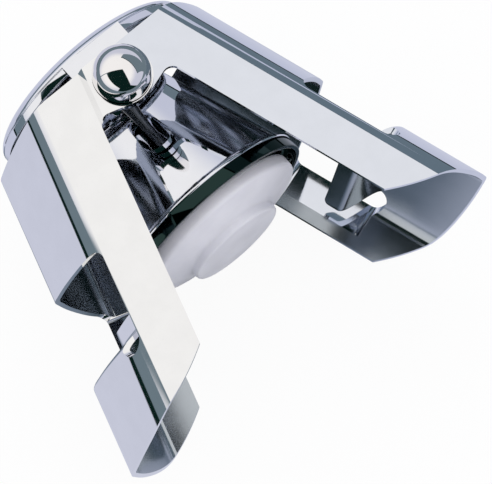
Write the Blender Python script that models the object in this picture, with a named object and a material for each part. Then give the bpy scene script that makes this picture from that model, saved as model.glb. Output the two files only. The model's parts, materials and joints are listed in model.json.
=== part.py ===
"""Lever stopper for sparkling-wine bottles, lying on its back with its wings spread.

Metres, +Z up. The pivot pin stands along Z, the turned pieces share an axis along Y
with the domed cap towards +Y, and the two wings spread along X. Every mesh is drawn
with the pivot axis and the mid-depth plane at its own origin.
"""

import math

import bmesh
import bpy
from mathutils import Matrix, Vector

# Driving sizes of the whole
SHEET = 0.0008
CLEARANCE = 0.0003
OVERRUN = 0.004
PLATE_SPAN = 0.038
OPEN_ANGLE = math.radians(17.2)
BALL_RADIUS = 0.0045
PIN_RADIUS = 0.0016
ROUND_STEPS = 64
SMALL_STEPS = 24
WELD = 0.00001

# Wing, measured with the wings shut: across from the pivot axis, down from it
EAR_RADIUS = 0.0047
INNER_EDGE = 0.0058
JOGGLE_RUN = 0.0007
FLAT_END = 0.012
WEB_REACH = 0.0212
EAR_FILLET = 0.0016
STRIP_END = 0.0421
TIP_DOWN = 0.0529
END_BULGE = (0.0145, 0.0515)
WINDOW_TOP = 0.0228
WINDOW_HALF = 0.017
WINDOW_CORNER = 0.0025
TONGUE_TOP = 0.031
TONGUE_HALF = 0.0142
TONGUE_CORNER = 0.001
TONGUE_RECESS = 0.0066
SHOULDER_START = 0.0332
SHOULDER_END = 0.0378
SLOT_END = 0.0372
SECTION_SHARES = (
    (0.0, 1.0), (0.16, 0.968), (0.30, 0.889), (0.47, 0.737),
    (0.65, 0.537), (0.815, 0.326), (0.935, 0.137), (1.0, 0.0),
)

# Cap
CAP_RADIUS = 0.01765
CAP_RIM = 0.0062
CAP_SKIRT = 0.0013
CAP_DOME = 0.0038
LUG_HALF = 0.0055
LUG_DROP = 0.0042

# Bell
BELL_TOP = 0.006
BELL_AT_PIVOT = 0.0096
BELL_MOUTH = 0.016
BELL_STEP = 0.019
COLLAR_RADIUS = 0.0167
COLLAR_HEIGHT = 0.0028

# Seal and its plunger
SEAL_RADIUS = 0.01415
SEAL_TOP = 0.021
SEAL_RIM = 0.0024
SEAL_BEVEL = 0.0015
PLUG_RADIUS = 0.008
PLUG_HEIGHT = 0.0017
PLUG_EDGE = 0.0006
STEM_RADIUS = 0.0015
STEM_IN_SEAL = 0.0033
STEM_TOP = 0.0046
CLIP_RADIUS = 0.0032
CLIP_THICK = 0.0006
CLIP_TOP = 0.0055
SEAT_THICK = 0.0008
PLATE_RADIUS = 0.0115
SPRING_RADIUS = 0.0045
WIRE_RADIUS = 0.0004
SPRING_TURNS = 6
TURN_STEPS = 12


def clear_scene():
    for old in list(bpy.data.objects):
        bpy.data.objects.remove(old, do_unlink=True)


def material(name, colour, roughness, metallic):
    made = bpy.data.materials.new(name)
    made.use_nodes = True
    shader = made.node_tree.nodes["Principled BSDF"]
    shader.inputs["Base Color"].default_value = (*colour, 1.0)
    shader.inputs["Roughness"].default_value = roughness
    shader.inputs["Metallic"].default_value = metallic
    return made


def chrome(name):
    return material(name, (0.80, 0.81, 0.84), 0.06, 1.0)


def steel(name):
    return material(name, (0.55, 0.56, 0.58), 0.35, 1.0)


def piece(name, shape, look=None):
    """Turn a bmesh into a named, smooth-shaded object with faces pointing out."""
    bmesh.ops.recalc_face_normals(shape, faces=shape.faces)
    mesh = bpy.data.meshes.new(name)
    shape.to_mesh(mesh)
    shape.free()
    mesh.shade_smooth()
    mesh.set_sharp_from_angle(angle=math.radians(35))
    made = bpy.data.objects.new(name, mesh)
    bpy.context.scene.collection.objects.link(made)
    if look:
        mesh.materials.append(look)
    else:
        made.hide_render = True
        made.display_type = "WIRE"
    return made


def turned(name, outline, look=None, steps=ROUND_STEPS):
    """Revolve a closed outline of (radius, height) about Y."""
    shape = bmesh.new()
    corners = [shape.verts.new((radius, height, 0)) for radius, height in outline]
    edges = []
    for one, two in zip(corners, corners[1:] + corners[:1]):
        if one.co.x > 0 or two.co.x > 0:
            edges.append(shape.edges.new((one, two)))
    bmesh.ops.spin(
        shape, geom=corners + edges, cent=(0, 0, 0), axis=(0, 1, 0),
        angle=math.tau, steps=steps, use_merge=True,
    )
    bmesh.ops.remove_doubles(shape, verts=shape.verts, dist=WELD)
    return piece(name, shape, look)


def prism(name, outline, low, high, look=None, turn=Matrix.Identity(4)):
    """Extrude an outline of (x, y) from z = low to z = high, then turn it."""
    shape = bmesh.new()
    face = shape.faces.new([shape.verts.new((x, y, low)) for x, y in outline])
    grown = bmesh.ops.extrude_face_region(shape, geom=[face])["geom"]
    upper = [item for item in grown if isinstance(item, bmesh.types.BMVert)]
    bmesh.ops.translate(shape, verts=upper, vec=(0, 0, high - low))
    bmesh.ops.transform(shape, matrix=turn, verts=shape.verts)
    return piece(name, shape, look)


def arc(centre, radius, start, end, steps):
    """Points on a circle from one angle to another, in degrees, both ends included."""
    turns = [math.radians(start + (end - start) * step / steps) for step in range(steps + 1)]
    return [(centre[0] + radius * math.cos(a), centre[1] + radius * math.sin(a)) for a in turns]


def rod(name, radius, low, high, look=None, steps=SMALL_STEPS):
    """A round bar along Z."""
    return prism(name, arc((0, 0), radius, 0, 360, steps)[:-1], low, high, look)


def carve(body, tool, operation="DIFFERENCE"):
    """Apply one Boolean and remove its tool."""
    step = body.modifiers.new(operation, "BOOLEAN")
    step.object = tool
    step.operation = operation
    step.solver = "EXACT"
    graph = bpy.context.evaluated_depsgraph_get()
    result = bpy.data.meshes.new_from_object(body.evaluated_get(graph))
    body.modifiers.clear()
    body.data = result
    bpy.data.objects.remove(tool, do_unlink=True)


def curve_through(points, steps):
    """Catmull-Rom curve through the points, ends included."""
    ends = [points[0]] + list(points) + [points[-1]]
    made = []
    for index in range(len(points) - 1):
        before, start, end, after = (Vector(p) for p in ends[index:index + 4])
        for step in range(steps):
            t = step / steps
            pull = (end - before) * t + (2 * before - 5 * start + 4 * end - after) * t ** 2
            bend = (3 * start - before - 3 * end + after) * t ** 3
            made.append(start + (pull + bend) / 2)
    made.append(Vector(points[-1]))
    return made


def smooth_step(value):
    value = min(max(value, 0), 1)
    return value * value * (3 - 2 * value)


# Wing: one stamping, U-shaped in section, with an ear at each side of the pin

def wing_section():
    """Outer outline of the U, as (x, z), from the front plate round to the rear one.

    The rear ear is joggled out by one sheet so that it laps over the other wing's.
    """
    half = PLATE_SPAN / 2
    lap = SHEET + CLEARANCE
    turn_in = INNER_EDGE - JOGGLE_RUN
    reach = WEB_REACH - FLAT_END
    front = [(FLAT_END + reach * across, half * deep) for across, deep in SECTION_SHARES]
    rear = [(across, -deep) for across, deep in reversed(front[:-1])]
    start = [Vector((-EAR_RADIUS - OVERRUN, half)), Vector((INNER_EDGE, half))]
    finish = [
        Vector((INNER_EDGE, -half)),
        Vector((turn_in, -half - lap)),
        Vector((-EAR_RADIUS - OVERRUN, -half - lap)),
    ]
    return start + curve_through(front + rear, 3) + finish


def inset_section(outer):
    """The same outline moved in by one sheet along its mitred normals."""
    moved = []
    for index, point in enumerate(outer):
        before = (point - outer[index - 1]).normalized() if index else None
        after = (outer[index + 1] - point).normalized() if index + 1 < len(outer) else None
        before = before or after
        after = after or before
        normal = Vector((before.y + after.y, -before.x - after.x)).normalized()
        stretch = normal.dot(Vector((after.y, -after.x)))
        moved.append(point + normal * SHEET / stretch)
    return moved


def recess(depth, down):
    """How far the tongue between the two slots is pressed in."""
    side = 1 - smooth_step((abs(depth) - TONGUE_HALF) / (WINDOW_HALF - TONGUE_HALF))
    rise = smooth_step((down - SHOULDER_START) / (SHOULDER_END - SHOULDER_START))
    return TONGUE_RECESS * side * (1 - rise)


def wing_shell():
    """The U swept along the strip, one sheet thick."""
    outer = wing_section()
    inner = inset_section(outer)
    shoulder_steps = 8
    rise = SHOULDER_END - SHOULDER_START
    stations = [-EAR_RADIUS - OVERRUN, 0, WINDOW_TOP - OVERRUN, WINDOW_TOP + OVERRUN]
    stations += [TONGUE_TOP - CLEARANCE, TONGUE_TOP]
    stations += [SHOULDER_START + rise * step / shoulder_steps for step in range(shoulder_steps + 1)]
    stations += [SHOULDER_END + OVERRUN, TIP_DOWN + OVERRUN]
    shape = bmesh.new()
    rings = []
    for down in stations:
        pressed = down >= TONGUE_TOP
        ring = []
        for line, lag in ((outer, 0), (reversed(inner), SHEET / 2)):
            for point in line:
                press = recess(point.y, down - lag) if pressed and point.x > FLAT_END - SHEET else 0
                ring.append(shape.verts.new((point.x - press, -down, point.y)))
        rings.append(ring)
    for ring, next_ring in zip(rings, rings[1:]):
        for index in range(len(ring)):
            last = index - 1
            shape.faces.new((ring[last], ring[index], next_ring[index], next_ring[last]))
    count = len(outer)
    for ring in (rings[0], rings[-1]):
        for index in range(count - 1):
            twin = 2 * count - 1 - index
            shape.faces.new((ring[index], ring[index + 1], ring[twin - 1], ring[twin]))
    return shape


def wing_outline():
    """Side view of the wing, as (x, y): ear, strip, curved end and stop edge."""
    far = WEB_REACH + OVERRUN
    top_angle = 90 - math.degrees(OPEN_ANGLE)
    foot = Vector(arc((0, 0), EAR_RADIUS, top_angle, top_angle, 1)[0])
    along = Vector((math.cos(OPEN_ANGLE), -math.sin(OPEN_ANGLE)))
    stop_end = foot + along * (far - foot.x) / along.x
    start = Vector((INNER_EDGE, -STRIP_END))
    bulge = Vector((END_BULGE[0], -END_BULGE[1]))
    tip = Vector((far, -TIP_DOWN))
    steps = 10
    end = []
    for step in range(steps + 1):
        t = step / steps
        end.append(start * (1 - t) ** 2 + bulge * 2 * t * (1 - t) + tip * t ** 2)
    fillet_centre = (INNER_EDGE - EAR_FILLET, -EAR_RADIUS - EAR_FILLET)
    ear = arc((0, 0), EAR_RADIUS, top_angle, 270, 16)
    fillet = arc(fillet_centre, EAR_FILLET, 90, 0, 6)
    return [tuple(point) for point in end] + [tuple(stop_end)] + ear + fillet


def window_outline():
    """Window and the two slots beside the tongue, as (z, y), one side then the other."""
    slot_radius = (WINDOW_HALF - TONGUE_HALF) / 2
    corner_centre = (WINDOW_HALF - WINDOW_CORNER, -WINDOW_TOP - WINDOW_CORNER)
    slot_centre = (WINDOW_HALF - slot_radius, -SLOT_END)
    tongue_centre = (TONGUE_HALF - TONGUE_CORNER, -TONGUE_TOP - TONGUE_CORNER)
    side = arc(corner_centre, WINDOW_CORNER, 90, 0, 5)
    side += arc(slot_centre, slot_radius, 0, -180, 8)
    side += arc(tongue_centre, TONGUE_CORNER, 0, 90, 4)
    return side + [(-across, down) for across, down in reversed(side)]


def make_wings():
    wing = piece("right_wing", wing_shell(), chrome("right_wing"))
    deep = PLATE_SPAN / 2 + OVERRUN
    carve(wing, prism("outline", wing_outline(), -deep, deep), "INTERSECT")
    edge_on = Matrix.Rotation(math.radians(90), 4, "Y")
    carve(wing, prism("window", window_outline(), FLAT_END - OVERRUN, WEB_REACH + OVERRUN, turn=edge_on))
    carve(wing, rod("hole", PIN_RADIUS + CLEARANCE, -deep, deep))
    twin = bpy.data.objects.new("left_wing", wing.data.copy())
    twin.data.materials.clear()
    twin.data.materials.append(chrome("left_wing"))
    bpy.context.scene.collection.objects.link(twin)
    half_turn = Matrix.Rotation(math.radians(180), 4, "Y")
    wing.rotation_euler = Matrix.Rotation(OPEN_ANGLE, 4, "Z").to_euler()
    twin.rotation_euler = (Matrix.Rotation(-OPEN_ANGLE, 4, "Z") @ half_turn).to_euler()
    return [wing, twin]


def make_cap():
    """Domed sheet with a straight skirt and a flat lug at front and rear."""
    inside = CAP_RADIUS - SHEET
    crown = CAP_RIM + CAP_SKIRT
    dome = [(CAP_RADIUS * math.cos(a), crown + CAP_DOME * math.sin(a)) for a in quarter(10)]
    hollow = [(inside * math.cos(a), crown + (CAP_DOME - SHEET) * math.sin(a)) for a in quarter(10)]
    outline = [(CAP_RADIUS, CAP_RIM)] + dome + list(reversed(hollow)) + [(inside, CAP_RIM)]
    outline = [(max(radius, 0) if radius > WELD else 0, height) for radius, height in outline]
    cap = turned("cap", outline, chrome("cap"))
    face = PLATE_SPAN / 2 - SHEET - CLEARANCE
    tab = [(-LUG_HALF, crown), (-LUG_HALF, 0)]
    tab += arc((0, -LUG_DROP + LUG_HALF), LUG_HALF, 200, 340, 12)
    tab += [(LUG_HALF, 0), (LUG_HALF, crown)]
    carve(cap, prism("lug", tab, face - SHEET, face), "UNION")
    carve(cap, prism("lug", tab, -face, SHEET - face), "UNION")
    carve(cap, rod("hole", PIN_RADIUS + CLEARANCE, -CAP_RADIUS - OVERRUN, CAP_RADIUS + OVERRUN))
    return cap


def quarter(steps):
    return [math.pi / 2 * step / steps for step in range(steps + 1)]


def bell_radius(height):
    return BELL_AT_PIVOT - height * (BELL_MOUTH - BELL_AT_PIVOT) / BELL_STEP


def make_bell():
    """Conical sheet body, closed above the pin, with a stepped collar at its mouth."""
    mouth = -BELL_STEP - COLLAR_HEIGHT
    outline = [
        (0, BELL_TOP),
        (bell_radius(BELL_TOP), BELL_TOP),
        (BELL_MOUTH, -BELL_STEP),
        (COLLAR_RADIUS, -BELL_STEP - CLEARANCE),
        (COLLAR_RADIUS, mouth),
        (COLLAR_RADIUS - SHEET, mouth),
        (COLLAR_RADIUS - SHEET, -BELL_STEP - SHEET),
        (BELL_MOUTH - SHEET, -BELL_STEP - SHEET),
        (bell_radius(BELL_TOP) - SHEET, BELL_TOP - SHEET),
        (0, BELL_TOP - SHEET),
    ]
    bell = turned("bell", outline, chrome("bell"))
    carve(bell, rod("hole", PIN_RADIUS + CLEARANCE, -COLLAR_RADIUS, COLLAR_RADIUS))
    return bell


def make_pin():
    """The pin, a little short of the bottom of each head's bore."""
    reach = head_base() + BALL_RADIUS / 2
    return rod("pivot_pin", PIN_RADIUS, CLEARANCE - reach, reach - CLEARANCE, steel("pivot_pin"))


def head_base():
    """Flat underside of a ball head, over the outer ear."""
    return PLATE_SPAN / 2 + SHEET + CLEARANCE + CLEARANCE


def make_heads():
    """Ball heads pressed onto the pin, cut flat where they face the ears."""
    below = CLEARANCE
    start = math.degrees(math.asin(below / BALL_RADIUS))
    ball = arc((0, below), BALL_RADIUS, -start, 90, 14)
    bore = PIN_RADIUS + CLEARANCE
    outline = ball[:-1] + [(0, below + BALL_RADIUS), (0, BALL_RADIUS / 2), (bore, BALL_RADIUS / 2), (bore, 0)]
    heads = []
    for name, turn in (("front_ball_head", 90), ("rear_ball_head", -90)):
        head = turned(name, outline, chrome(name), 40)
        tilt = Matrix.Rotation(math.radians(turn), 4, "X")
        side = 1 if turn > 0 else -1
        head.data.transform(Matrix.Translation((0, 0, side * head_base())) @ tilt)
        heads.append(head)
    return heads


def make_seal():
    """Sealing disc with a bevelled underside and a plug, bored from above for the stem."""
    bore = STEM_RADIUS + CLEARANCE
    bore_end = -SEAL_TOP - STEM_IN_SEAL - CLEARANCE
    rim = -SEAL_TOP - SEAL_RIM
    root = rim - SEAL_BEVEL
    face = root - PLUG_HEIGHT
    outline = [
        (0, bore_end),
        (bore, bore_end),
        (bore, -SEAL_TOP),
        (SEAL_RADIUS - CLEARANCE, -SEAL_TOP),
        (SEAL_RADIUS, -SEAL_TOP - CLEARANCE),
        (SEAL_RADIUS, rim),
        (SEAL_RADIUS - PLUG_EDGE, rim - CLEARANCE),
        (PLUG_RADIUS + PLUG_EDGE, root + CLEARANCE),
        (PLUG_RADIUS, root - CLEARANCE),
        (PLUG_RADIUS, face + PLUG_EDGE),
        (PLUG_RADIUS - PLUG_EDGE, face),
        (0, face),
    ]
    return turned("seal", outline, material("seal", (0.83, 0.83, 0.88), 0.4, 0.0))


def ring(name, outer, inner, top, thick, look):
    outline = [(inner, top), (outer, top), (outer, top - thick), (inner, top - thick)]
    return turned(name, outline, look, SMALL_STEPS * 2)


def plate_top():
    """Upper face of the backing plate, one clearance above the seal."""
    return -SEAL_TOP + CLEARANCE + SHEET


def seat_top():
    """Upper face of the guide disc, one clearance below the clip."""
    return -CLIP_TOP - CLIP_THICK - CLEARANCE


def make_plunger():
    """Stem, clip and backing plate, which move with the seal."""
    bore = STEM_RADIUS + CLEARANCE
    stem_end = -SEAL_TOP - STEM_IN_SEAL
    length = [(0, -STEM_TOP), (STEM_RADIUS, -STEM_TOP), (STEM_RADIUS, stem_end), (0, stem_end)]
    stem = turned("plunger_stem", length, steel("plunger_stem"), SMALL_STEPS)
    clip = ring("plunger_clip", CLIP_RADIUS, bore, -CLIP_TOP, CLIP_THICK, steel("plunger_clip"))
    plate = ring("backing_plate", PLATE_RADIUS, bore, plate_top(), SHEET, steel("backing_plate"))
    return [stem, clip, plate]


def make_seat():
    """Guide disc across the bell, which carries the spring's upper end."""
    edge = bell_radius(seat_top()) - SHEET - CLEARANCE
    bore = STEM_RADIUS + CLEARANCE
    return ring("spring_seat", edge, bore, seat_top(), SEAT_THICK, steel("spring_seat"))


def make_spring():
    """Helical spring between the guide disc and the backing plate."""
    upper = seat_top() - SEAT_THICK - CLEARANCE - WIRE_RADIUS
    lower = plate_top() + CLEARANCE + WIRE_RADIUS
    count = SPRING_TURNS * TURN_STEPS
    wire = bpy.data.curves.new("plunger_spring", "CURVE")
    wire.dimensions = "3D"
    wire.bevel_depth = WIRE_RADIUS
    wire.bevel_resolution = 1
    wire.use_fill_caps = True
    helix = wire.splines.new("POLY")
    helix.points.add(count)
    for index, point in enumerate(helix.points):
        turn = math.tau * index / TURN_STEPS
        height = upper + (lower - upper) * index / count
        point.co = (SPRING_RADIUS * math.cos(turn), height, SPRING_RADIUS * math.sin(turn), 1)
    wire.materials.append(steel("plunger_spring"))
    made = bpy.data.objects.new("plunger_spring", wire)
    bpy.context.scene.collection.objects.link(made)
    return made


def settle(pieces):
    """Move every piece so that the whole stands on z = 0, centred on the origin."""
    bpy.context.view_layer.update()
    graph = bpy.context.evaluated_depsgraph_get()
    places = []
    for item in pieces:
        mesh = item.evaluated_get(graph).to_mesh()
        places += [item.matrix_world @ vertex.co for vertex in mesh.vertices]
    low = Vector(min(place[axis] for place in places) for axis in range(3))
    high = Vector(max(place[axis] for place in places) for axis in range(3))
    middle = (low + high) / 2
    shift = Vector((-middle.x, -middle.y, -low.z))
    for item in pieces:
        item.location = shift
    print("pivot axis at", tuple(round(value, 6) for value in shift))
    print("size", tuple(round(value, 6) for value in high - low))


def main():
    clear_scene()
    pieces = [make_cap(), make_bell(), make_pin(), make_seal(), make_seat(), make_spring()]
    pieces += make_wings() + make_heads() + make_plunger()
    settle(pieces)


main()
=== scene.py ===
"""Photograph-like scene of the two-wing lever stopper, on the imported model."""

import json
import math

import bmesh
import bpy
from mathutils import Matrix, Vector


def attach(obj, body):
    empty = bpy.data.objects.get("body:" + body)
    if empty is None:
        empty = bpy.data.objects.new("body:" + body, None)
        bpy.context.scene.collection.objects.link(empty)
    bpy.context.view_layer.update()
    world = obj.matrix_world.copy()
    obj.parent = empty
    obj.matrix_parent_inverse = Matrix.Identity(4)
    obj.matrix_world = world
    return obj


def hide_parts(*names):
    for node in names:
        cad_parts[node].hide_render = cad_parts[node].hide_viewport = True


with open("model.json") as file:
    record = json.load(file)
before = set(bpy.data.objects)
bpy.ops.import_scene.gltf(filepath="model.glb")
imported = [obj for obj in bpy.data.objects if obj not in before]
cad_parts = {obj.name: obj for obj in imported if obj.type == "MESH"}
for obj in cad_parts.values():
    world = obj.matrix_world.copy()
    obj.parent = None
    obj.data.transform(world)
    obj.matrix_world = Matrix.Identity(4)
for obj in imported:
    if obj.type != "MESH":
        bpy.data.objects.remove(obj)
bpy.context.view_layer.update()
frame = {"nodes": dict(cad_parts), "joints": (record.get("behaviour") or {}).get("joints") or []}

# Studio: a long-lens camera looks down on the lying stopper, almost along its
# pivot pin. White paper lies under it, and the room shows only in the plating.
pivot = Vector(frame["joints"][0]["pos_m"])
photo_width = 492
focal_pixels = 3800
eye_from_pivot = Vector((-0.11457, -0.14870, 0.55252))
view_direction = Vector((0.20040, 0.21051, -0.95683))
view_up = Vector((0.62545, 0.72424, 0.29033))

camera = bpy.data.objects.new("camera", bpy.data.cameras.new("camera"))
bpy.context.scene.collection.objects.link(camera)
camera.data.sensor_width = 36
camera.data.lens = camera.data.sensor_width * focal_pixels / photo_width
camera.data.clip_start = 0.05
camera.data.clip_end = 20
camera.location = pivot + eye_from_pivot
backward = -view_direction.normalized()
rightward = view_up.cross(backward).normalized()
upward = backward.cross(rightward)
camera.rotation_euler = Matrix((rightward, upward, backward)).transposed().to_euler()
bpy.context.scene.camera = camera
bpy.context.scene.view_settings.view_transform = "Standard"


class Shade:
    """A node socket that takes part in Python expressions."""

    def __init__(self, tree, value):
        self.tree = tree
        self.value = value

    def node(self, kind, inputs=None, output=0, **settings):
        """Add any node: its settings first, then the values or links of its sockets."""
        made = self.tree.nodes.new(kind)
        for key, setting in settings.items():
            setattr(made, key, setting)
        for key, item in (inputs or {}).items():
            socket = made.inputs[key]
            if isinstance(item, Shade):
                self.tree.links.new(item.value, socket)
            elif isinstance(item, (tuple, list)) and len(item) == 3 and socket.type == "RGBA":
                socket.default_value = (*item, 1)
            else:
                socket.default_value = item
        return Shade(self.tree, made.outputs[output] if made.outputs else None)

    def math(self, operation, other=0.0):
        return self.node("ShaderNodeMath", {0: self, 1: other}, operation=operation)

    def __add__(self, other):
        return self.math("ADD", other)

    __radd__ = __add__

    def __mul__(self, other):
        return self.math("MULTIPLY", other)

    __rmul__ = __mul__

    def __sub__(self, other):
        return self.math("SUBTRACT", other)

    def __rsub__(self, other):
        return self * -1 + other

    def rise(self, start, end):
        """0 below start, 1 above end, smooth between."""
        return self.node(
            "ShaderNodeMapRange",
            {"Value": self, "From Min": start, "From Max": end},
            interpolation_type="SMOOTHSTEP",
        )

    def blend(self, low, high):
        """A colour that goes from low to high as this value goes from 0 to 1."""
        return self.node(
            "ShaderNodeMix", {0: self, 6: low, 7: high}, output=2, data_type="RGBA",
        )


world = bpy.data.worlds.new("room")
bpy.context.scene.world = world
world.use_nodes = True
world.node_tree.nodes.clear()
room = Shade(world.node_tree, None)
look = room.node("ShaderNodeTexCoord", output=0)


def facing(direction):
    """Cosine between the direction looked in and a given one."""
    unit = tuple(Vector(direction).normalized())
    return room.node(
        "ShaderNodeVectorMath", {0: look, 1: unit}, output=1, operation="DOT_PRODUCT",
    )


def beyond(across, above, behind, start, end):
    """1 on the far side of an edge whose facing is given from the camera's view."""
    return facing(across * rightward + above * upward + behind * backward).rise(start, end)


ceiling = (0.95, 0.94, 0.93)
haze_wall = (0.60, 0.62, 0.73)
slate = (0.15, 0.20, 0.235)
dark = (0.003, 0.014, 0.012)
room_light = (0.92, 0.92, 0.94)
plain_white = (1.0, 1.0, 1.0)
# The plating mirrors a light ceiling and a haze-grey wall. What lies low in the
# camera's view is the dark room, broken by a bright window and a bright screen,
# each of them bounded by two or three straight edges.
lit = facing((-0.35, 0.10, 0.93)).rise(0.15, 0.60).blend(haze_wall, ceiling)
low = beyond(-0.134, 1, -0.24, 0.01, -0.01)
bright_window = beyond(0.845, 0.499, -0.19, 0.0, 0.02)
bright_window = bright_window * beyond(0.469, 0.724, 0.512, 0.0, 0.02)
bright_screen = beyond(0.485, 0.397, 0.778, 0.0, -0.02)
bright_screen = bright_screen * beyond(-0.057, 0.961, -0.268, -0.11, -0.13)
bright_screen = bright_screen * beyond(0.904, -0.276, -0.324, 0.0, -0.02)
room_dark = beyond(1, 0, 0, -0.75, -0.88).blend(dark, slate)
tone = (low * (1 - bright_window) * (1 - bright_screen)).blend(lit, room_dark)
rays = room.tree.nodes.new("ShaderNodeLightPath")
mirrored = Shade(room.tree, rays.outputs["Is Glossy Ray"])
seen = Shade(room.tree, rays.outputs["Is Camera Ray"])
through = Shade(room.tree, rays.outputs["Is Transmission Ray"])
tone = mirrored.blend(room_light, tone)
tone = seen.blend(tone, plain_white)
tone = through.blend(tone, plain_white)
glow = room.node("ShaderNodeBackground", {"Color": tone, "Strength": 1.0})
room.node("ShaderNodeOutputWorld", {"Surface": glow})

floor_mesh = bpy.data.meshes.new("paper")
floor_reach = 3.0
floor_shape = bmesh.new()
bmesh.ops.create_grid(floor_shape, x_segments=1, y_segments=1, size=floor_reach)
floor_shape.to_mesh(floor_mesh)
floor_shape.free()
floor = bpy.data.objects.new("paper", floor_mesh)
bpy.context.scene.collection.objects.link(floor)


def new_material(name):
    """An empty node material, as a Shade to build in."""
    made = bpy.data.materials.new(name)
    made.use_nodes = True
    made.node_tree.nodes.clear()
    return made, Shade(made.node_tree, None)


def finish_material(shade, **sockets):
    """Put a Principled shader on the material's output."""
    inputs = {key.replace("_", " "): item for key, item in sockets.items()}
    shader = shade.node("ShaderNodeBsdfPrincipled", inputs)
    shade.node("ShaderNodeOutputMaterial", {"Surface": shader})


paper_low_tone = (0.93, 0.93, 0.94)
paper_high_tone = (0.95, 0.95, 0.96)
paper_whiteness = 0.93
floor_material, sheet_of_paper = new_material("paper")
grain = sheet_of_paper.node("ShaderNodeTexNoise", {"Scale": 900.0, "Detail": 3.0})
shader = sheet_of_paper.node(
    "ShaderNodeBsdfPrincipled",
    {"Base Color": grain.blend(paper_low_tone, paper_high_tone), "Roughness": 0.9},
)
white = sheet_of_paper.node("ShaderNodeEmission", {"Color": (1, 1, 1), "Strength": 1.0})
floor_rays = sheet_of_paper.tree.nodes.new("ShaderNodeLightPath")
floor_seen = Shade(sheet_of_paper.tree, floor_rays.outputs["Is Camera Ray"])
floor_mirrored = Shade(sheet_of_paper.tree, floor_rays.outputs["Is Glossy Ray"])
# In the plating alone, the floor is a sheet on a slate table, with a dark line
# along the sheet's edge.
paper_left, paper_right, paper_low, paper_high = -0.085, 0.072, -0.15, 0.13
edge_soft = 0.002
edge_line = 0.012
paper_mirrored = (0.60, 0.62, 0.74)
spot = sheet_of_paper.node("ShaderNodeTexCoord", output=3)
spot_x = sheet_of_paper.node("ShaderNodeSeparateXYZ", {0: spot}, output=0)
spot_y = sheet_of_paper.node("ShaderNodeSeparateXYZ", {0: spot}, output=1)


def on_sheet(margin):
    """1 on the sheet grown by a margin, 0 beyond it."""
    inside_x = spot_x.rise(paper_left - margin - edge_soft, paper_left - margin)
    inside_x = inside_x * spot_x.rise(paper_right + margin + edge_soft, paper_right + margin)
    inside_y = spot_y.rise(paper_low - margin - edge_soft, paper_low - margin)
    inside = inside_x * inside_y
    return inside * spot_y.rise(paper_high + margin + edge_soft, paper_high + margin)


table = on_sheet(edge_line).blend(slate, dark)
sheet_tone = on_sheet(0.0).blend(table, paper_mirrored)
# Right under the stopper the mirrored sheet carries a painted shadow: darkest out to
# shade_core, and fading to the sheet's own tone from shade_edge to shade_end.
shade_middle = (pivot.x, pivot.y - 0.014, 0)
shade_core, shade_edge, shade_end = 0.018, 0.026, 0.040
painted_shadow_core_tone = (0.01, 0.022, 0.022)
painted_shadow_edge_tone = (0.16, 0.20, 0.26)
far = sheet_of_paper.node(
    "ShaderNodeVectorMath", {0: spot, 1: shade_middle}, output=1, operation="DISTANCE",
)
under = far.rise(shade_core, shade_edge).blend(painted_shadow_core_tone, painted_shadow_edge_tone)
mirror_tone = far.rise(shade_edge, shade_end).blend(under, sheet_tone)
mirror_floor = sheet_of_paper.node(
    "ShaderNodeEmission", {"Color": mirror_tone, "Strength": 1.0},
)
surface = sheet_of_paper.node(
    "ShaderNodeMixShader", {0: floor_seen * paper_whiteness, 1: shader, 2: white},
)
surface = sheet_of_paper.node(
    "ShaderNodeMixShader", {0: floor_mirrored, 1: surface, 2: mirror_floor},
)
sheet_of_paper.node("ShaderNodeOutputMaterial", {"Surface": surface})
floor_mesh.materials.append(floor_material)

# A grey card, bent round an axis along the right lever, shows only in the plating,
# as the slate strip beside that lever's face. Its edges are angles in degrees.
open_angle = math.radians(17.2)
card_axis = pivot + Vector((0.012, -0.004, 0.019))
card_radius = 0.06
card_run = (-0.035, 0.085)
card_low_edge = (42, -34)
card_top = 62
card_border = 3
card_border_soft = 0.0006
card_steps = 48
card_turn = Matrix.Rotation(open_angle, 4, "Z")
card_shape = bmesh.new()
card_rows = []
for step in range(card_steps + 1):
    row = []
    for run, low_edge in zip(card_run, card_low_edge):
        angle = math.radians(low_edge + (card_top - low_edge) * step / card_steps)
        across = card_radius * math.cos(angle)
        rise = card_radius * math.sin(angle)
        row.append(card_shape.verts.new((across, -run, rise)))
    card_rows.append(row)
for row, next_row in zip(card_rows, card_rows[1:]):
    card_shape.faces.new((row[0], row[1], next_row[1], next_row[0]))
bmesh.ops.transform(card_shape, matrix=card_turn, verts=card_shape.verts)
card_mesh = bpy.data.meshes.new("grey_card")
card_shape.to_mesh(card_mesh)
card_shape.free()
card = bpy.data.objects.new("grey_card", card_mesh)
bpy.context.scene.collection.objects.link(card)
card.location = card_axis
card.visible_camera = False
card.visible_diffuse = False
card.visible_shadow = False
card.visible_transmission = False
card_material, card_face = new_material("grey_card")
card_spot = card_face.node("ShaderNodeTexCoord", output=3)
card_height = card_face.node("ShaderNodeSeparateXYZ", {0: card_spot}, output=2)
border = card_radius * math.sin(math.radians(card_top - card_border))
card_tone = card_height.rise(border, border + card_border_soft).blend(slate, dark)
card_glow = card_face.node("ShaderNodeEmission", {"Color": card_tone, "Strength": 1.0})
card_face.node("ShaderNodeOutputMaterial", {"Surface": card_glow})
card_mesh.materials.append(card_material)

lamp = bpy.data.objects.new("softbox", bpy.data.lights.new("softbox", "AREA"))
bpy.context.scene.collection.objects.link(lamp)
lamp.data.shape = "DISK"
lamp.data.size = 0.5
lamp.data.energy = 1.2
lamp.location = pivot + Vector((0.25, 0.35, 0.9))
lamp.rotation_euler = (pivot - lamp.location).to_track_quat("-Z", "Y").to_euler()
lamp.visible_glossy = False


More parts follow.
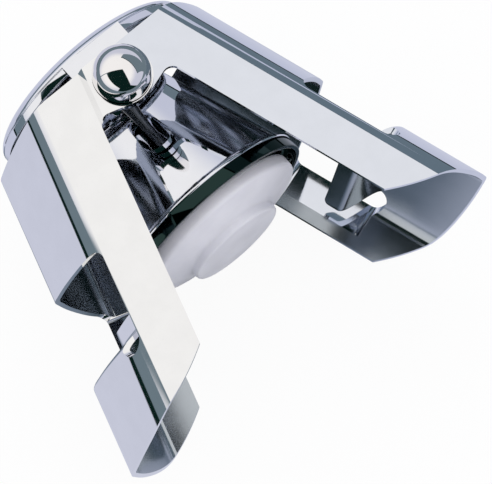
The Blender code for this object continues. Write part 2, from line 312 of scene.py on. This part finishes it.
# Bell: the stopper's body, a cone of thin sheet drawn in one piece and bright
# plated, closed above the pin, with a short straight collar rolled at its mouth.
sheet = 0.0008
clearance = 0.0003
bell_top = 0.006
bell_at_pivot = 0.0096
bell_mouth = 0.016
bell_step = 0.019
collar_radius = 0.0167
collar_height = 0.0028
bell_rounding = 0.0003
thin_rounding = 0.0002
turn_steps = 160
turned_crease = 40
merge_distance = 0.000002
pin_radius = 0.0016


def arc(centre, radius, start, end, steps):
    """Points on a circle from one angle to another, in degrees, both ends included."""
    turns = [math.radians(start + (end - start) * step / steps) for step in range(steps + 1)]
    return [(centre[0] + radius * math.cos(a), centre[1] + radius * math.sin(a)) for a in turns]


def rounded(outline, radius, steps=4):
    """Round every corner of a closed outline that lies off the axis."""
    made = []
    count = len(outline)
    for index, corner in enumerate(outline):
        here = Vector(corner)
        if here.x < radius:
            made.append(here)
            continue
        before = Vector(outline[index - 1]) - here
        after = Vector(outline[(index + 1) % count]) - here
        cut = min(radius, before.length * 0.45, after.length * 0.45)
        start = here + before.normalized() * cut
        end = here + after.normalized() * cut
        for step in range(steps + 1):
            t = step / steps
            made.append(start * (1 - t) ** 2 + here * 2 * t * (1 - t) + end * t ** 2)
    return made


def place(name, shape, material, crease=turned_crease):
    """Give a mesh its name, finish and smooth shading, at the pivot."""
    bmesh.ops.recalc_face_normals(shape, faces=shape.faces)
    mesh = bpy.data.meshes.new(name)
    shape.to_mesh(mesh)
    shape.free()
    mesh.shade_smooth()
    mesh.set_sharp_from_angle(angle=math.radians(crease))
    made = bpy.data.objects.new(name, mesh)
    bpy.context.scene.collection.objects.link(made)
    made.location = pivot
    if material:
        mesh.materials.append(material)
    return made


def turned(name, outline, material, steps=turn_steps):
    """Revolve a closed outline of (radius, height) about the body's axis."""
    shape = bmesh.new()
    corners = [shape.verts.new((max(point[0], 0), point[1], 0)) for point in outline]
    edges = []
    for one, two in zip(corners, corners[1:] + corners[:1]):
        if one.co.x > 0 or two.co.x > 0:
            edges.append(shape.edges.new((one, two)))
    bmesh.ops.spin(
        shape, geom=corners + edges, cent=(0, 0, 0), axis=(0, 1, 0),
        angle=math.tau, steps=steps, use_merge=True,
    )
    bmesh.ops.remove_doubles(shape, verts=shape.verts, dist=merge_distance)
    return place(name, shape, material)


def chrome(name, colour=(0.86, 0.87, 0.91), dull=0.025):
    """Bright plating whose faint haze varies a little in tone and roughness."""
    hazed = tuple(0.97 * part for part in colour)
    haze_roughness = 0.03
    made, plating = new_material(name)
    where = plating.node("ShaderNodeTexCoord", output=3)
    haze = plating.node("ShaderNodeTexNoise", {"Vector": where, "Scale": 260.0, "Detail": 4.0})
    tint = haze.rise(0.3, 0.7).blend(hazed, colour)
    rough = haze.rise(0.35, 0.75) * haze_roughness + dull
    finish_material(plating, Base_Color=tint, Metallic=1.0, Roughness=rough)
    return made


def bell_radius(level):
    return bell_at_pivot - level * (bell_mouth - bell_at_pivot) / bell_step


mouth = -bell_step - collar_height
bell_outline = [
    (0, bell_top),
    (bell_radius(bell_top), bell_top),
    (bell_mouth, -bell_step),
    (collar_radius, -bell_step - clearance),
    (collar_radius, -bell_step - sheet),
    (bell_mouth - sheet, -bell_step - sheet),
    (bell_radius(bell_top) - sheet, bell_top - sheet),
    (0, bell_top - sheet),
]
bell = turned("bell_body", rounded(bell_outline, bell_rounding), chrome("bell_plating"))
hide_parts("bell")
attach(bell, "stopper_body")


# The collar is the same sheet rolled straight, with a near-black plating that is a painted
# dark reflection, so it reads as a dark band between the bell's bright edge and the white seal.
collar_outline = [
    (collar_radius - clearance / 3, -bell_step - sheet / 2),
    (collar_radius, mouth),
    (collar_radius - sheet, mouth),
    (collar_radius - sheet, -bell_step - sheet / 2),
]
painted_dark_reflection_plating = chrome("collar_painted_dark_reflection", (0.02, 0.04, 0.037))
collar = turned("bell_collar", rounded(collar_outline, thin_rounding), painted_dark_reflection_plating)
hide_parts("bell")
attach(collar, "stopper_body")


# Cap: the domed hood over the pivot, drawn from thin sheet and bright plated. Its
# skirt is short and straight, and two flat lugs hang down from it onto the pin.
cap_radius = 0.01765
cap_rim = 0.0062
cap_skirt = 0.0013
cap_dome = 0.0038
plate_span = 0.038
lug_half = 0.0055
lug_drop = 0.0042
dome_steps = 40

inside = cap_radius - sheet
crown = cap_rim + cap_skirt
quarter = [math.pi / 2 * step / dome_steps for step in range(dome_steps + 1)]
dome = [(cap_radius * math.cos(a), crown + cap_dome * math.sin(a)) for a in quarter]
hollow = [(inside * math.cos(a), crown + (cap_dome - sheet) * math.sin(a)) for a in quarter]
skirt = [(cap_radius, crown), (cap_radius, cap_rim), (inside, cap_rim), (inside, crown)]
cap_outline = rounded(skirt, thin_rounding) + hollow[1:-1]
cap_outline += [(0, hollow[-1][1]), (0, dome[-1][1])] + list(reversed(dome[1:-1]))
cap = turned("cap_dome", cap_outline, chrome("cap_plating"))
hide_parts("cap")
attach(cap, "stopper_body")


stamped_crease = 20


def prism(name, outline, low, high, material=None, turn=Matrix.Identity(4)):
    """Extrude an outline of (x, y) from z = low to z = high, then turn it."""
    shape = bmesh.new()
    face = shape.faces.new([shape.verts.new((x, y, low)) for x, y in outline])
    grown = bmesh.ops.extrude_face_region(shape, geom=[face])["geom"]
    upper = [item for item in grown if isinstance(item, bmesh.types.BMVert)]
    bmesh.ops.translate(shape, verts=upper, vec=(0, 0, high - low))
    bmesh.ops.transform(shape, matrix=turn, verts=shape.verts)
    return place(name, shape, material, stamped_crease)


lug_face = plate_span / 2 - sheet - clearance
tab = [(-lug_half, crown), (-lug_half, 0)]
tab += arc((0, lug_half - lug_drop), lug_half, 200, 340, 24)
tab += [(lug_half, 0), (lug_half, crown)]
for side, low in (("front", lug_face - sheet), ("rear", -lug_face)):
    lug = prism(side + "_cap_lug", tab, low, low + sheet, cap.data.materials[0])
    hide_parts("cap")
    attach(lug, "stopper_body")


# Wings: two levers stamped alike from thin sheet and bright plated. Each is a U
# in section, with an ear at either side of the pin, a window that clears the
# bottle's bead and, below it, a tongue pressed in to hook under that bead.
ear_radius = 0.0047
inner_edge = 0.0058
joggle_run = 0.0007
flat_end = 0.012
web_reach = 0.0212
ear_fillet = 0.0016
strip_end = 0.0421
tip_down = 0.0529
end_bulge = (0.0145, 0.0515)
window_top = 0.0228
window_half = 0.0184
window_corner = 0.0016
tongue_top = 0.031
tongue_half = 0.0142
tongue_corner = 0.001
tongue_recess = 0.0066
shoulder_start = 0.0332
shoulder_end = 0.0378
slot_end = 0.0372
overrun = 0.004
wing_crease = 28
rolled_edge = 0.0002
rolled_edge_from = 40
# The two wings are one pressing, but their plating tones differ: the left wing's lighter tone is
# painted light, the right wing's darker lavender tone is painted shade, and the darker, duller
# plating inside the U is painted shade.
right_painted_shade_tone = (0.76, 0.79, 0.86)
left_painted_light_tone = (0.92, 0.92, 0.92)
inner_painted_shade_tone = (0.50, 0.54, 0.58)
inner_dull = 0.16
section_shares = (
    (0.0, 1.0), (0.08, 0.991), (0.16, 0.968), (0.30, 0.889), (0.47, 0.737),
    (0.65, 0.537), (0.815, 0.326), (0.935, 0.137), (1.0, 0.0),
)


def curve_through(points, steps):
    """Catmull-Rom curve through the points, ends included."""
    ends = [points[0]] + list(points) + [points[-1]]
    made = []
    for index in range(len(points) - 1):
        before, start, end, after = (Vector(p) for p in ends[index:index + 4])
        for step in range(steps):
            t = step / steps
            pull = (end - before) * t + (2 * before - 5 * start + 4 * end - after) * t ** 2
            bend = (3 * start - before - 3 * end + after) * t ** 3
            made.append(start + (pull + bend) / 2)
    made.append(Vector(points[-1]))
    return made


def smooth_step(value):
    value = min(max(value, 0), 1)
    return value * value * (3 - 2 * value)


def wing_section():
    """Outer outline of the U, as (x, z), from the front plate round to the rear one."""
    half = plate_span / 2
    lap = sheet + clearance
    turn_in = inner_edge - joggle_run
    reach = web_reach - flat_end
    front = [(flat_end + reach * across, half * deep) for across, deep in section_shares]
    rear = [(across, -deep) for across, deep in reversed(front[:-1])]
    start = [Vector((-ear_radius - overrun, half)), Vector((inner_edge, half))]
    finish = [
        Vector((inner_edge, -half)),
        Vector((turn_in, -half - lap)),
        Vector((-ear_radius - overrun, -half - lap)),
    ]
    return start + curve_through(front + rear, 8) + finish


def inset_section(outer):
    """The same outline moved in by one sheet along its mitred normals."""
    moved = []
    for index, point in enumerate(outer):
        before = (point - outer[index - 1]).normalized() if index else None
        after = (outer[index + 1] - point).normalized() if index + 1 < len(outer) else None
        before = before or after
        after = after or before
        normal = Vector((before.y + after.y, -before.x - after.x)).normalized()
        stretch = normal.dot(Vector((after.y, -after.x)))
        moved.append(point + normal * sheet / stretch)
    return moved


def recess(depth, down):
    """How far the tongue between the two slots is pressed in."""
    edge = 1 - smooth_step((abs(depth) - tongue_half) / (window_half - tongue_half))
    climb = smooth_step((down - shoulder_start) / (shoulder_end - shoulder_start))
    return tongue_recess * edge * (1 - climb)


def wing_shell():
    """The U swept along the strip, one sheet thick."""
    outer = wing_section()
    inner = inset_section(outer)
    shoulder_steps = 24
    climb = shoulder_end - shoulder_start
    stations = [-ear_radius - overrun, 0, window_top - overrun, window_top + overrun]
    stations += [tongue_top - clearance, tongue_top, (tongue_top + shoulder_start) / 2]
    for step in range(shoulder_steps + 1):
        stations.append(shoulder_start + climb * step / shoulder_steps)
    stations += [shoulder_end + overrun, tip_down + overrun]
    shape = bmesh.new()
    rings = []
    for down in stations:
        pressed = down >= tongue_top
        ring = []
        for line, lag in ((outer, 0), (reversed(inner), sheet / 2)):
            for point in line:
                press = recess(point.y, down - lag) if pressed and point.x > flat_end - sheet else 0
                ring.append(shape.verts.new((point.x - press, -down, point.y)))
        rings.append(ring)
    for ring, next_ring in zip(rings, rings[1:]):
        for index in range(len(ring)):
            last = index - 1
            side = shape.faces.new((ring[last], ring[index], next_ring[index], next_ring[last]))
            side.material_index = int(index > len(outer))
    count = len(outer)
    for ring in (rings[0], rings[-1]):
        for index in range(count - 1):
            twin = 2 * count - 1 - index
            shape.faces.new((ring[index], ring[index + 1], ring[twin - 1], ring[twin]))
    return shape


def wing_outline():
    """Side view of the wing, as (x, y): ear, strip, curved end and stop edge."""
    far = web_reach + overrun
    top_angle = 90 - math.degrees(open_angle)
    foot = Vector(arc((0, 0), ear_radius, top_angle, top_angle, 1)[0])
    along = Vector((math.cos(open_angle), -math.sin(open_angle)))
    stop_end = foot + along * (far - foot.x) / along.x
    start = Vector((inner_edge, -strip_end))
    bulge = Vector((end_bulge[0], -end_bulge[1]))
    tip = Vector((far, -tip_down))
    steps = 24
    end = []
    for step in range(steps + 1):
        t = step / steps
        end.append(start * (1 - t) ** 2 + bulge * 2 * t * (1 - t) + tip * t ** 2)
    fillet_centre = (inner_edge - ear_fillet, -ear_radius - ear_fillet)
    ear = arc((0, 0), ear_radius, top_angle, 270, 40)
    fillet = arc(fillet_centre, ear_fillet, 90, 0, 12)
    return [tuple(point) for point in end] + [tuple(stop_end)] + ear + fillet


def window_outline():
    """Window and the two slots beside the tongue, as (z, y), one side then the other."""
    slot_radius = (window_half - tongue_half) / 2
    corner_centre = (window_half - window_corner, -window_top - window_corner)
    slot_centre = (window_half - slot_radius, -slot_end)
    tongue_centre = (tongue_half - tongue_corner, -tongue_top - tongue_corner)
    half = arc(corner_centre, window_corner, 90, 0, 12)
    half += arc(slot_centre, slot_radius, 0, -180, 16)
    half += arc(tongue_centre, tongue_corner, 0, 90, 8)
    return half + [(-across, down) for across, down in reversed(half)]


def carve(body, tool, operation="DIFFERENCE"):
    """Apply one Boolean and remove its tool."""
    step = body.modifiers.new(operation, "BOOLEAN")
    step.object = tool
    step.operation = operation
    step.solver = "EXACT"
    step.material_mode = "INDEX"
    graph = bpy.context.evaluated_depsgraph_get()
    result = bpy.data.meshes.new_from_object(body.evaluated_get(graph))
    body.modifiers.clear()
    body.data = result
    bpy.data.objects.remove(tool, do_unlink=True)


deep = plate_span / 2 + overrun
edge_on = Matrix.Rotation(math.radians(90), 4, "Y")
# The right wing's darker lavender plating is painted shade.
right_painted_shade_plating = chrome("right_wing_plating", right_painted_shade_tone)
right_wing = place("right_lever_wing", wing_shell(), right_painted_shade_plating)
carve(right_wing, prism("outline", wing_outline(), -deep, deep), "INTERSECT")
opening = prism(
    "window", window_outline(), flat_end - overrun, web_reach + overrun, turn=edge_on,
)
carve(right_wing, opening)
hole = arc((0, 0), pin_radius + clearance, 0, 360, 40)[:-1]
carve(right_wing, prism("hole", hole, -deep, deep))
right_wing.data.shade_smooth()
right_wing.data.set_sharp_from_angle(angle=math.radians(wing_crease))
left_wing = bpy.data.objects.new("left_lever_wing", right_wing.data.copy())
bpy.context.scene.collection.objects.link(left_wing)
left_wing.location = pivot
# The darker plating on the inside of the U is painted shade.
inner_painted_shade_plating = chrome("inner_painted_shade_plating", inner_painted_shade_tone, inner_dull)
right_wing.data.materials.append(inner_painted_shade_plating)
left_wing.data.materials.append(inner_painted_shade_plating)
# The left wing's lighter plating is painted light.
left_wing.data.materials[0] = chrome("left_wing_plating", left_painted_light_tone)
half_turn = Matrix.Rotation(math.radians(180), 4, "Y")
right_wing.data.transform(Matrix.Rotation(open_angle, 4, "Z"))
left_wing.data.transform(Matrix.Rotation(-open_angle, 4, "Z") @ half_turn)
for wing, node, body in (
    (left_wing, "left_wing", "left_lever"), (right_wing, "right_wing", "right_lever"),
):
    edge = wing.modifiers.new("rolled edge", "BEVEL")
    edge.width = rolled_edge
    edge.segments = 3
    edge.limit_method = "ANGLE"
    edge.angle_limit = math.radians(rolled_edge_from)
    flat = wing.modifiers.new("flat faces", "WEIGHTED_NORMAL")
    flat.keep_sharp = True
    flat.weight = 100
    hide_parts(node)
    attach(wing, body)


# Ball heads: two solid balls of bright-plated brass, cut flat where they face the
# ears and pressed onto the ends of the pivot pin.
ball_radius = 0.0045
ball_steps = 96
ball_tone = (0.93, 0.91, 0.91)
head_base = plate_span / 2 + sheet + clearance + clearance
ball_start = math.degrees(math.asin(clearance / ball_radius))
ball_outline = arc((0, clearance), ball_radius, -ball_start, 90, 48)[:-1]
ball_outline += [(0, clearance + ball_radius), (0, ball_radius / 2)]
ball_outline += [(pin_radius + clearance, ball_radius / 2), (pin_radius + clearance, 0)]
for node, turn, side in (("front_ball_head", 90, 1), ("rear_ball_head", -90, -1)):
    ball_plating = chrome(node + "_plating", ball_tone)
    ball = turned(node + "_ball", ball_outline, ball_plating, ball_steps)
    tilt = Matrix.Rotation(math.radians(turn), 4, "X")
    ball.data.transform(Matrix.Translation((0, 0, side * head_base)) @ tilt)
    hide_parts(node)
    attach(ball, "stopper_body")


# Seal: a moulded disc of soft white plastic with a bevelled underside and a short
# plug, which the spring inside the bell presses onto the bottle's mouth.
seal_radius = 0.01415
seal_top = 0.021
seal_rim = 0.0024
seal_bevel = 0.0015
plug_radius = 0.008
plug_height = 0.0017
plug_edge = 0.0006
stem_radius = 0.0015
stem_in_seal = 0.0033
bore = stem_radius + clearance
bore_end = -seal_top - stem_in_seal - clearance
seal_low = -seal_top - seal_rim
plug_root = seal_low - seal_bevel
plug_face = plug_root - plug_height
seal_outline = [
    (0, bore_end),
    (bore, bore_end),
    (bore, -seal_top),
    (seal_radius, -seal_top),
    (seal_radius, seal_low),
    (plug_radius + plug_edge, plug_root),
    (plug_radius, plug_root - clearance),
    (plug_radius, plug_face),
    (0, plug_face),
]
plastic_low_tone = (0.74, 0.74, 0.80)
plastic_high_tone = (0.80, 0.80, 0.86)
soft, moulding = new_material("white_plastic")
where = moulding.node("ShaderNodeTexCoord", output=3)
cloud = moulding.node("ShaderNodeTexNoise", {"Vector": where, "Scale": 180.0, "Detail": 3.0})
fine = moulding.node("ShaderNodeTexNoise", {"Vector": where, "Scale": 2600.0, "Detail": 2.0})
skin = moulding.node("ShaderNodeBump", {"Strength": 0.12, "Distance": 0.00004, "Height": fine})
finish_material(
    moulding,
    Base_Color=cloud.rise(0.3, 0.7).blend(plastic_low_tone, plastic_high_tone),
    Roughness=cloud * 0.15 + 0.33,
    Subsurface_Weight=0.25,
    Subsurface_Radius=(0.0012, 0.0012, 0.0014),
    Normal=skin,
)
seal = turned("seal_disc", rounded(seal_outline, plug_edge, 8), soft)
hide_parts("seal")
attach(seal, "plunger")


# Pin, plunger and spring: plain drawn steel, dull from the tumbling drum, hidden
# inside the bell but for the pin's ends between the lugs and the balls.
# The near-black steel tones are painted shade where the pin's ends show.
steel_painted_shade_low_tone = (0.10, 0.11, 0.12)
steel_painted_shade_high_tone = (0.16, 0.17, 0.18)
for node in (
    "pivot_pin", "plunger_stem", "plunger_clip", "backing_plate", "plunger_spring",
    "spring_seat",
):
    made, metal = new_material(node + "_steel")
    where = metal.node("ShaderNodeTexCoord", output=3)
    streak = metal.node("ShaderNodeTexNoise", {"Vector": where, "Scale": 1500.0, "Detail": 4.0})
    dent = metal.node("ShaderNodeBump", {"Strength": 0.2, "Distance": 0.00003, "Height": streak})
    finish_material(
        metal,
        Base_Color=streak.rise(0.3, 0.7).blend(steel_painted_shade_low_tone, steel_painted_shade_high_tone),
        Metallic=1.0,
        Roughness=streak * 0.2 + 0.25,
        Normal=dent,
    )
    carried = frame["nodes"][node]
    carried.data.materials.clear()
    carried.data.materials.append(made)

bpy.context.view_layer.update()
